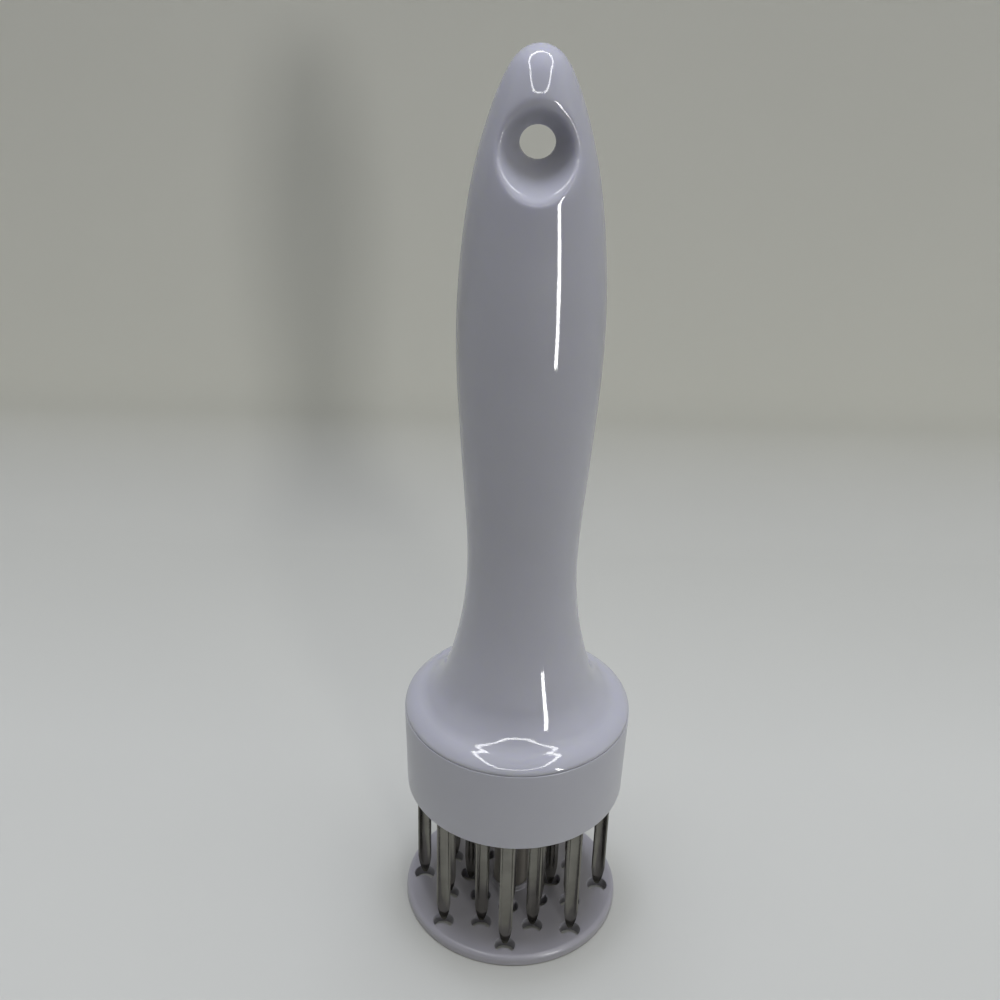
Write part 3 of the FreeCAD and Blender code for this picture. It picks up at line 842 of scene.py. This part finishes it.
def turned(name: str, corners: Sequence[Corner], steps: int) -> Thing:
    """Turn a closed outline and round its corners.

    Args:
        name: the piece's name.
        corners: the outline, in order; an outline may start and end on the axis.
        steps: facets round the turn.

    Returns:
        The piece.
    """
    form = Form()
    on_axis = corners[0].radius == 0 and corners[-1].radius == 0
    points = [outline_point(corner.radius, corner.height) for corner in corners]
    form.turn(form.chain(points, closed=not on_axis), steps)
    form.tidy()
    for corner in corners:
        if corner.round:
            form.round_off(form.circles(corner.radius, corner.height), corner.round,
                           ROUND_FACETS)
    return form.piece(name)


@dataclass
class HeadRing:
    """Skirt of the head, with the ledge that carries the blade cartridge."""

    steps: int = 256
    taper: float = 0.5
    wall: float = 1.7
    ledge_width: float = 0.6
    base_round: float = 0.6
    top_round: float = 0.12
    bore_round: float = 0.2
    ledge_round: float = 0.1

    def build(self, finishes: Finishes) -> None:
        """Model and dress the ring."""
        low, high = node_span("head_ring")
        ledge_top = node_span("blade_holder")[0].z
        bore = high.x - self.wall
        ledge = bore - self.ledge_width
        thing = turned("head_ring_moulding", [
            Corner(ledge, low.z, self.bore_round),
            Corner(high.x - self.taper, low.z, self.base_round),
            Corner(high.x, high.z, self.top_round),
            Corner(bore, high.z, self.bore_round),
            Corner(bore, ledge_top),
            Corner(ledge, ledge_top, self.ledge_round),
        ], self.steps)
        settle(thing, Body.GRIP, ["head_ring"], finishes.of(Slot.RING))


@dataclass
class Pattern:
    """Where the blades stand: three rings of eight, the middle one half a step round."""

    per_ring: int = 8
    turn: float = 3.3

    def spots(self) -> Iterator[tuple[str, Vector, Facing]]:
        """Yield each blade's node, its place in millimetres and its facing."""
        radii = {ring: self.ring_radius(ring) for ring in ("outer", "middle", "inner")}
        for ring, offset, facing in (("outer", 0.0, Facing.FORWARD),
                                     ("middle", 0.5, Facing.FORWARD),
                                     ("inner", 0.0, Facing.BACK)):
            for number in range(self.per_ring):
                angle = math.radians((number + offset) * 360 / self.per_ring - 90 - self.turn)
                place = Vector((math.cos(angle), math.sin(angle), 0)) * radii[ring]
                yield f"blade_{ring}_{number + 1}", place, facing

    def ring_radius(self, ring: str) -> float:
        """Radius of a ring of blades, from the blades on its opposite sides."""
        centres = []
        for number in range(1, self.per_ring + 1):
            low, high = node_span(f"blade_{ring}_{number}")
            centres.append((low + high) / 2)
        half = self.per_ring // 2
        return (centres[0] - centres[half]).xy.length / 2

    def stand(self, form: Form, place: Vector, facing: Facing) -> None:
        """Turn everything in a form to a blade's facing and move it to its place."""
        form.rotate(facing.value - math.radians(self.turn), "Z")
        form.move(place)


@dataclass
class Gutter:
    """Section of a blade: an arc that bulges towards +Y and opens towards -Y."""

    outer: float = 1.85
    thickness: float = 0.42
    arc: float = 120.0

    @property
    def inner(self) -> float:
        """Radius of the hollow side."""
        return self.outer - self.thickness

    @property
    def axis(self) -> Vector:
        """Centre of the arc, set so that the section lies about the origin."""
        middle = (self.inner * math.cos(math.radians(self.arc / 2)) + self.outer) / 2
        return Vector((0, -middle, 0))


@dataclass
class BladeSet:
    """Gutter-shaped blades, each with a wider head and a ground gouge point."""

    pattern: Pattern
    section: Gutter
    head_arc: float = 160.0
    head_height: float = 1.6
    step_angle: float = 20 / 3
    bevel_length: float = 2.9
    edge_land: float = 0.04
    edge_break: float = 0.035
    crisp_fold: float = 25.0
    sharp_fold: float = 30.0

    def blade(self, low: float, high: float) -> Form:
        """Model one blade about the origin.

        Args:
            low, high: heights of its point and its head.

        Returns:
            The blade's form.
        """
        form = Form()
        section = self.section
        start = math.radians(90 - self.head_arc / 2)
        ray = Vector((math.cos(start), math.sin(start), 0))
        floor = high - self.head_height
        lift = Vector((0, 0, floor))
        edge = form.chain([section.axis + ray * section.inner + lift,
                           section.axis + ray * section.outer + lift])
        steps = round(self.head_arc / self.step_angle)
        form.turn(edge, steps, math.radians(self.head_arc), section.axis)
        strip = list(form.bm.faces)
        shank = [face for face in strip if self.in_arc(face.calc_center_median())]
        self.push(form, strip, self.head_height)
        self.push(form, shank, low - floor)
        bmesh.ops.delete(form.bm, geom=shank, context="FACES_ONLY")
        form.tidy()
        self.grind(form, low)
        crisp = [edge for edge in form.bm.edges if len(edge.link_faces) == 2
                 and edge.calc_face_angle() > math.radians(self.crisp_fold)]
        form.round_off(crisp, self.edge_break, 1)
        return form

    def in_arc(self, point: Vector) -> bool:
        """Whether a point of the strip lies in the shank's narrower arc."""
        out = point - self.section.axis
        return abs(math.degrees(math.atan2(out.x, out.y))) < self.section.arc / 2

    def push(self, form: Form, faces: list[bmesh.types.BMFace], distance: float) -> None:
        """Extrude faces along Z."""
        made = bmesh.ops.extrude_face_region(form.bm, geom=faces, use_keep_orig=True)
        form.move(Vector((0, 0, distance)), only(made["geom"], Vert))

    def grind(self, form: Form, low: float) -> None:
        """Cut the slanting face that gives the blade its point.

        Args:
            form: the blade.
            low: height of the point.
        """
        section = self.section
        back = section.axis.y + section.outer - self.edge_land
        lean = math.atan2(section.thickness, self.bevel_length)
        outwards = Vector((0, -math.cos(lean), -math.sin(lean)))
        made = bmesh.ops.bisect_plane(
            form.bm, geom=form.bm.verts[:] + form.bm.edges[:] + form.bm.faces[:], dist=SLICE,
            plane_co=Vector((0, back, low)), plane_no=outwards, clear_outer=True,
            clear_inner=False)
        bmesh.ops.holes_fill(form.bm, edges=only(made["geom_cut"], Edge), sides=0)

    def build(self, finishes: Finishes) -> None:
        """Model and dress every blade."""
        for node, place, facing in self.pattern.spots():
            low, high = node_span(node)
            form = self.blade(low.z, high.z)
            self.pattern.stand(form, place, facing)
            thing = form.piece(node.replace("blade", "gutter_blade"), self.sharp_fold)
            settle(thing, Body.GRIP, [node], finishes.of(Slot.BLADE))


@dataclass
class FootPlate:
    """Round foot with a slot for every blade and a collar for the plunger."""

    pattern: Pattern
    section: Gutter
    steps: int = 256
    thickness: float = 2.8
    top_round: float = 1.2
    base_round: float = 0.5
    slot_clearance: float = 0.55
    slot_setback: float = 0.36
    slot_throat: float = 3.25
    land_radius: float = 2.2
    slot_steps: int = 32
    land_steps: int = 10
    lip: float = 0.16
    lip_steps: int = 4
    collar_wall: float = 0.6
    collar_root: float = 0.35
    collar_round: float = 0.2
    socket_break: float = 0.08
    arc_steps: tuple[int, int, int, int] = (6, 12, 5, 4)
    seat_clearance: float = 0.05
    screw_hole: float = 1.35
    sink_radius: float = 2.7
    sink_depth: float = 1.2
    socket_floor: float = 1.6

    def rim(self, form: Form, radius: float) -> None:
        """Turn the rounded rim, from the flat top round to the flat underside.

        Args:
            form: the plate's form.
            radius: the plate's radius.
        """
        top, base = self.top_round, self.base_round
        base_steps, top_steps = self.arc_steps[:2]
        points = [outline_point(radius - base, 0)]
        points += self.quarter(outline_point(radius - base, base), base, -90, 0,
                               base_steps)[1:]
        points += self.quarter(outline_point(radius - top, self.thickness - top), top, 0, 90,
                               top_steps)
        form.turn(form.chain(points), self.steps)

    def quarter(self, centre: Vector, radius: float, first: float, last: float,
                steps: int) -> list[Vector]:
        """Points of an arc in the XZ plane.

        Args:
            centre: the arc's centre.
            radius: its radius.
            first, last: its angles above level, in degrees.
            steps: its facets.

        Returns:
            The points, both ends among them.
        """
        angles = [math.radians(first + (last - first) * step / steps)
                  for step in range(steps + 1)]
        return [centre + Vector((math.cos(angle), 0, math.sin(angle))) * radius
                for angle in angles]

    def middle(self, form: Form, stem: float, collar_top: float) -> None:
        """Turn the collar, the socket, the screw hole and its countersink.

        Args:
            form: the plate's form.
            stem: the plunger's radius.
            collar_top: height of the collar.
        """
        socket = stem + self.seat_clearance
        collar = socket + self.collar_wall
        root, edge, nick = self.collar_root, self.collar_round, self.socket_break
        root_steps, edge_steps = self.arc_steps[2:]
        points = self.quarter(outline_point(collar + root, self.thickness + root), root,
                              -90, -180, root_steps)
        points += self.quarter(outline_point(collar - edge, collar_top - edge), edge, 0, 90,
                               edge_steps)
        points += [outline_point(*corner) for corner in (
            (socket + nick, collar_top), (socket, collar_top - nick),
            (socket, self.socket_floor), (self.screw_hole, self.socket_floor),
            (self.screw_hole, self.sink_depth), (self.sink_radius, 0))]
        form.turn(form.chain(points), self.steps // 2)

    def slot_outline(self, form: Form, grow: float, height: float) -> Edges:
        """Trace one slot about the origin: a circle with a land bowed into it.

        Args:
            form: where to put it.
            grow: how much wider than the slot it is on every side.
            height: its height.

        Returns:
            The outline's edges.
        """
        hole = self.section.outer + self.slot_clearance
        centre = Vector((0, -self.slot_setback, height))
        apart = self.slot_throat + self.land_radius - hole
        land = centre - Vector((0, apart, 0))
        wide, narrow = hole + grow, self.land_radius - grow
        drop = (apart ** 2 + wide ** 2 - narrow ** 2) / (2 * apart)
        half = math.sqrt(wide ** 2 - drop ** 2)
        lobe = math.atan2(drop, half)
        bow = math.atan2(half, apart - drop)
        vert = form.bm.verts.new(centre + Vector((half, -drop, 0)))
        known = set(form.bm.edges)
        for axis, angle, steps in ((centre, HALF_TURN + 2 * lobe, self.slot_steps),
                                   (land, -2 * bow, self.land_steps)):
            made = bmesh.ops.spin(form.bm, geom=[vert], cent=axis, axis=UP, dvec=ORIGIN,
                                  angle=angle, steps=steps, use_duplicate=False,
                                  use_merge=False, use_normal_flip=False)
            vert = only(made["geom_last"], Vert)[0]
        edges = [edge for edge in form.bm.edges if edge not in known]
        bmesh.ops.remove_doubles(form.bm, verts=ends(edges), dist=MERGE)
        return [edge for edge in form.bm.edges if edge not in known]

    def slot_walls(self) -> Form:
        """Model one slot's wall, with a small rounded lip at both faces."""
        form = Form()
        levels = []
        for step in range(self.lip_steps + 1):
            lean = QUARTER_TURN * step / self.lip_steps
            levels.append((self.lip * (1 - math.sin(lean)), self.lip * (1 - math.cos(lean))))
        stack = levels + [(grow, self.thickness - drop) for grow, drop in reversed(levels)]
        loops = [self.slot_outline(form, grow, height) for grow, height in stack]
        for below, above in zip(loops, loops[1:]):
            bmesh.ops.bridge_loops(form.bm, edges=below + above)
        return form

    def build(self, finishes: Finishes) -> None:
        """Model and dress the foot plate."""
        low, high = node_span("foot_plate")
        stem = node_span("plunger_stem")[1].x
        form = Form()
        self.rim(form, high.x)
        self.middle(form, stem, high.z)
        for _, place, facing in self.pattern.spots():
            wall = self.slot_walls()
            self.pattern.stand(wall, place, facing)
            mesh = bpy.data.meshes.new("slot_wall")
            wall.bm.to_mesh(mesh)
            wall.bm.free()
            form.bm.from_mesh(mesh)
            bpy.data.meshes.remove(mesh)
        bmesh.ops.remove_doubles(form.bm, verts=form.bm.verts, dist=MERGE)
        for height in (0.0, self.thickness):
            open_edges = [edge for edge in form.bm.edges if edge.is_boundary
                          and all(abs(vert.co.z - height) < LEVEL for vert in edge.verts)]
            bmesh.ops.triangle_fill(form.bm, use_beauty=True, use_dissolve=False,
                                    edges=open_edges)
        thing = form.piece("foot_plate_moulding")
        weigh = thing.modifiers.new("flat_faces_first", "WEIGHTED_NORMAL")
        weigh.keep_sharp = True
        settle(thing, Body.FOOT, ["foot_plate"], finishes.of(Slot.FOOT))


@dataclass
class Plunger:
    """Post that stands in the foot's collar and runs up through the head."""

    steps: int = 96
    pilot_radius: float = 1.35
    pilot_depth: float = 10.0
    end_break: float = 0.15

    def build(self, finishes: Finishes) -> None:
        """Model and dress the plunger."""
        low, high = node_span("plunger_stem")
        upper, lower = high.z - self.pilot_depth, low.z + self.pilot_depth
        thing = turned("plunger_post", [
            Corner(0, upper), Corner(self.pilot_radius, upper),
            Corner(self.pilot_radius, high.z), Corner(high.x, high.z, self.end_break),
            Corner(high.x, low.z, self.end_break), Corner(self.pilot_radius, low.z),
            Corner(self.pilot_radius, lower), Corner(0, lower),
        ], self.steps)
        settle(thing, Body.FOOT, ["plunger_stem"], finishes.post)


@dataclass(frozen=True)
class Inside:
    """CAD nodes that stay as they are and only take a finish."""

    nodes: tuple[tuple[str, Slot], ...] = (
        ("blade_holder", Slot.INNER), ("blade_clamp_plate", Slot.INNER),
        ("spring_housing", Slot.INNER), ("guide_bush", Slot.BUSH),
        ("clamp_screws", Slot.SCREW), ("foot_screw", Slot.SCREW),
        ("stop_washer", Slot.SCREW), ("stem_screw", Slot.SCREW),
        ("return_spring", Slot.SPRING))

    def build(self, finishes: Finishes) -> None:
        """Dress each node."""
        for node, slot in self.nodes:
            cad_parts[node].material_slots[0].material = finishes.of(slot)
            LOG.info("%s: dressed", node)


# ---------------------------------------------------------------- studio


@dataclass
class Studio:
    """Pale sweep with lamps overhead and to the right and a soft sky."""

    floor_width: float = 40.0
    floor_front: float = -30.0
    wall_place: float = 0.190
    wall_height: float = 0.6
    sweep_radius: float = 0.034
    sweep_steps: int = 24
    floor_crease: float = -0.2
    wall_start: float = 0.05
    pale: Colour = from_screen(202, 202, 194)
    wall_pale: Colour = from_screen(227, 226, 215)
    shaded: Colour = from_screen(80, 81, 83)
    shade_start: float = -0.05
    shade_end: float = -0.18
    lamp_height: float = 0.39
    lamp_west: float = -0.14
    lamp_east: float = 0.15
    lamp_front: float = -0.33
    lamp_back: float = 0.05
    lamp_corner: float = 0.12
    corner_steps: int = 4
    strip_width: float = 0.022
    frame_power: float = 1.0
    top_power: float = 21.0
    top_size: float = 0.8
    top_height: float = 2.0
    top_back: float = 0.12
    top_tint: Colour = (0.93, 0.97, 1.15)
    soft_power: float = 12.0
    soft_size: float = 2.8
    soft_height: float = 1.6
    soft_back: float = 0.35
    key_power: float = 2.4
    key_size: float = 0.13
    key_distance: float = 1.2
    key_azimuth: float = 20.0
    key_climb: float = 15.4
    key_aim: float = 0.11
    side_power: float = 0.66
    side_place: tuple[float, float] = (0.20, -0.25)
    side_height: float = 0.27
    side_width: float = 0.03
    sky: float = 0.055
    sky_wings: float = 0.46
    sky_lean: tuple[float, float, float] = (0.10, 0.055, 0.06)

    def sweep(self) -> None:
        """Floor that curves up into a wall, seen only from the object's side."""
        form = Form()
        curve = self.sweep_radius / MM
        wall = self.wall_place / MM
        points = [Vector((0, self.floor_front / MM, 0)), Vector((0, self.floor_crease / MM, 0)),
                  Vector((0, wall - curve, 0))]
        for step in range(1, self.sweep_steps + 1):
            angle = QUARTER_TURN * step / self.sweep_steps
            points.append(Vector((0, wall - curve + curve * math.sin(angle),
                                  curve * (1 - math.cos(angle)))))
        points.append(Vector((0, wall, self.wall_height / MM)))
        edges = form.chain(points)
        made = bmesh.ops.extrude_edge_only(form.bm, edges=edges)
        form.move(Vector((self.floor_width / MM, 0, 0)), only(made["geom"], Vert))
        form.move(Vector((-self.floor_width / 2 / MM, 0, 0)))
        thing = form.piece("studio_sweep", 80.0)
        if thing.data.polygons[0].normal.z < 0:
            thing.data.flip_normals()
        thing.data.materials.append(self.sweep_material())

    def sweep_material(self) -> Material:
        """Pale matt card, clear from behind, whose front bounces less light than it shows."""
        work = Surface("studio_card")
        parts = work.add("SeparateXYZ", Vector=work.place)
        climb = work.spread(parts.outputs["Z"], 0.0, self.wall_start)
        patch = work.spread(work.noise(work.place, 7.0, 3.0), 0.3, 0.7, 0.0, 0.05)
        near = work.spread(parts.outputs["Y"], self.shade_end, self.shade_start)
        path = work.add("LightPath").outputs
        mirrored = work.maths("MAXIMUM", path["Is Glossy Ray"], path["Is Transmission Ray"])
        seen = work.maths("MAXIMUM", path["Is Camera Ray"], mirrored)
        floor = work.blend(work.maths("MAXIMUM", near, seen), self.shaded, self.pale)
        tone = work.blend(climb, floor, self.wall_pale)
        worn = work.blend(patch, tone, tuple(channel * 0.6 for channel in self.pale))
        work.feed(work.shader, "Base Color", worn)
        work.fix(Roughness=0.55, Specular_IOR_Level=0.0)
        clear = work.add("BsdfTransparent")
        behind = work.add("NewGeometry").outputs["Backfacing"]
        mix = work.add("MixShader")
        work.feed(mix, 0, behind)
        work.feed(mix, 1, work.shader.outputs["BSDF"])
        work.feed(mix, 2, clear.outputs["BSDF"])
        work.feed(work.tree.nodes["Material Output"], "Surface", mix.outputs["Shader"])
        return work.material

    def lamp(self, name: str, place: Sequence[float], aim: Sequence[float],
             across: Sequence[float], size: tuple[float, float], power: float,
             lights: Lights = Lights.ALL, tint: Colour = (1.0, 1.0, 1.0)) -> None:
        """Hang a rectangular lamp.

        Args:
            name: its name.
            place: its centre.
            aim: the direction it shines in.
            across: the direction of its first side.
            size: the lengths of its two sides.
            power: its power in watts.
            lights: which part of a finish it lights.
            tint: the colour of its light.
        """
        data = bpy.data.lights.new(name, "AREA")
        data.shape, data.size, data.size_y, data.energy = "RECTANGLE", size[0], size[1], power
        data.color = tint
        thing = put(name, data)
        back = -Vector(aim).normalized()
        side = Vector(across)
        side = (side - back * side.dot(back)).normalized()
        thing.matrix_world = stood(place, side, back.cross(side), back)
        thing.visible_camera = False
        thing.visible_glossy = lights is not Lights.BODY
        thing.visible_diffuse = lights is not Lights.GLOSS

    def lamps(self) -> None:
        """Hang the overhead frame, the soft box, the top and key lamps and the upright strip."""
        width = self.lamp_east - self.lamp_west
        depth = self.lamp_back - self.lamp_front
        middle_x = (self.lamp_east + self.lamp_west) / 2
        middle_y = (self.lamp_back + self.lamp_front) / 2
        down, east = (0, 0, -1), (1, 0, 0)
        outline = []
        for quarter, (east_side, back) in enumerate(((1, 1), (-1, 1), (-1, -1), (1, -1))):
            corner = Vector((middle_x + east_side * (width / 2 - self.lamp_corner),
                             middle_y + back * (depth / 2 - self.lamp_corner),
                             self.lamp_height))
            for step in range(self.corner_steps + 1):
                angle = QUARTER_TURN * (quarter + step / self.corner_steps)
                outline.append(corner + Vector((math.cos(angle), math.sin(angle), 0))
                               * self.lamp_corner)
        runs = list(zip(outline, outline[1:] + outline[:1]))
        length = sum((end - start).length for start, end in runs)
        for number, (start, end) in enumerate(runs):
            run = (end - start).length
            self.lamp(f"frame_{number}", (start + end) / 2, down, end - start,
                      (run, self.strip_width), self.frame_power * run / length, Lights.GLOSS)
        self.lamp("soft_box", (0, self.soft_back, self.soft_height), down, east,
                  (self.soft_size, self.soft_size), self.soft_power)
        self.lamp("top_lamp", (0, self.top_back, self.top_height), down, east,
                  (self.top_size, self.top_size), self.top_power, Lights.BODY, self.top_tint)
        azimuth, climb = math.radians(self.key_azimuth), math.radians(self.key_climb)
        towards = Vector((math.sin(azimuth) * math.cos(climb),
                          -math.cos(azimuth) * math.cos(climb), math.sin(climb)))
        key_place = Vector((0, 0, self.key_aim)) + towards * self.key_distance
        self.lamp("key_lamp", key_place, -towards, east, (self.key_size, self.key_size),
                  self.key_power, Lights.BODY)
        x, y = self.side_place
        self.lamp("side_strip", (x, y, self.side_height / 2), (-x, -y, 0), (0, 0, 1),
                  (self.side_height, self.side_width), self.side_power, Lights.GLOSS)

    def sky_light(self) -> None:
        """Soft light, lighter from both sides, from above and from behind."""
        world = bpy.data.worlds.new("studio_sky")
        world.use_nodes = True
        bpy.context.scene.world = world
        work = Shading(world.node_tree)
        direction = work.add("TexCoord").outputs["Generated"]
        dot = work.add("VectorMath", operation="DOT_PRODUCT")
        work.feed(dot, 0, direction)
        work.feed(dot, 1, self.sky_lean)
        east = work.add("SeparateXYZ", Vector=direction).outputs["X"]
        wings = work.maths("MULTIPLY", work.maths("MULTIPLY", east, east), self.sky_wings)
        lean = work.maths("ADD", dot.outputs["Value"], self.sky)
        level = work.maths("MAXIMUM", work.maths("ADD", lean, wings), 0.0)
        background = world.node_tree.nodes["Background"]
        background.inputs["Color"].default_value = (*from_screen(252, 254, 255), 1.0)
        work.feed(background, "Strength", level)

    def build(self) -> None:
        """Set up the stage and its light."""
        self.sweep()
        self.lamps()
        self.sky_light()
        LOG.info("studio: ready")


@dataclass(frozen=True)
class Viewpoint:
    """Camera at a hand's height in front of the tool, looking down at it."""

    place: tuple[float, float, float] = (-0.0051, -0.2521, 0.2563)
    pitch: float = 30.1
    roll: float = 1.53
    lens: float = 50.4
    sensor: float = 36.0

    def build(self) -> None:
        """Make the camera and look through it."""
        data = bpy.data.cameras.new("front_camera")
        data.lens, data.sensor_width = self.lens, self.sensor
        data.clip_start, data.clip_end = 0.01, 20.0
        camera = put("front_camera", data)
        pitch, roll = math.radians(self.pitch), math.radians(self.roll)
        ahead = Vector((0, math.cos(pitch), -math.sin(pitch)))
        level = Vector((1, 0, 0))
        upright = level.cross(ahead)
        right = level * math.cos(roll) + upright * math.sin(roll)
        above = upright * math.cos(roll) - level * math.sin(roll)
        camera.matrix_world = stood(self.place, right, above, -ahead)
        bpy.context.scene.camera = camera


def main() -> None:
    """Build the tool and its studio."""
    logging.basicConfig(level=logging.INFO, format="%(name)s %(message)s")
    bpy.context.scene.view_settings.view_transform = "Standard"
    finishes = Finishes()
    pattern, section = Pattern(), Gutter()
    for part in (Handle(), HeadRing(), BladeSet(pattern, section),
                 FootPlate(pattern, section), Plunger(), Inside()):
        part.build(finishes)
    Studio().build()
    Viewpoint().build()


if __name__ == "__main__":
    main()
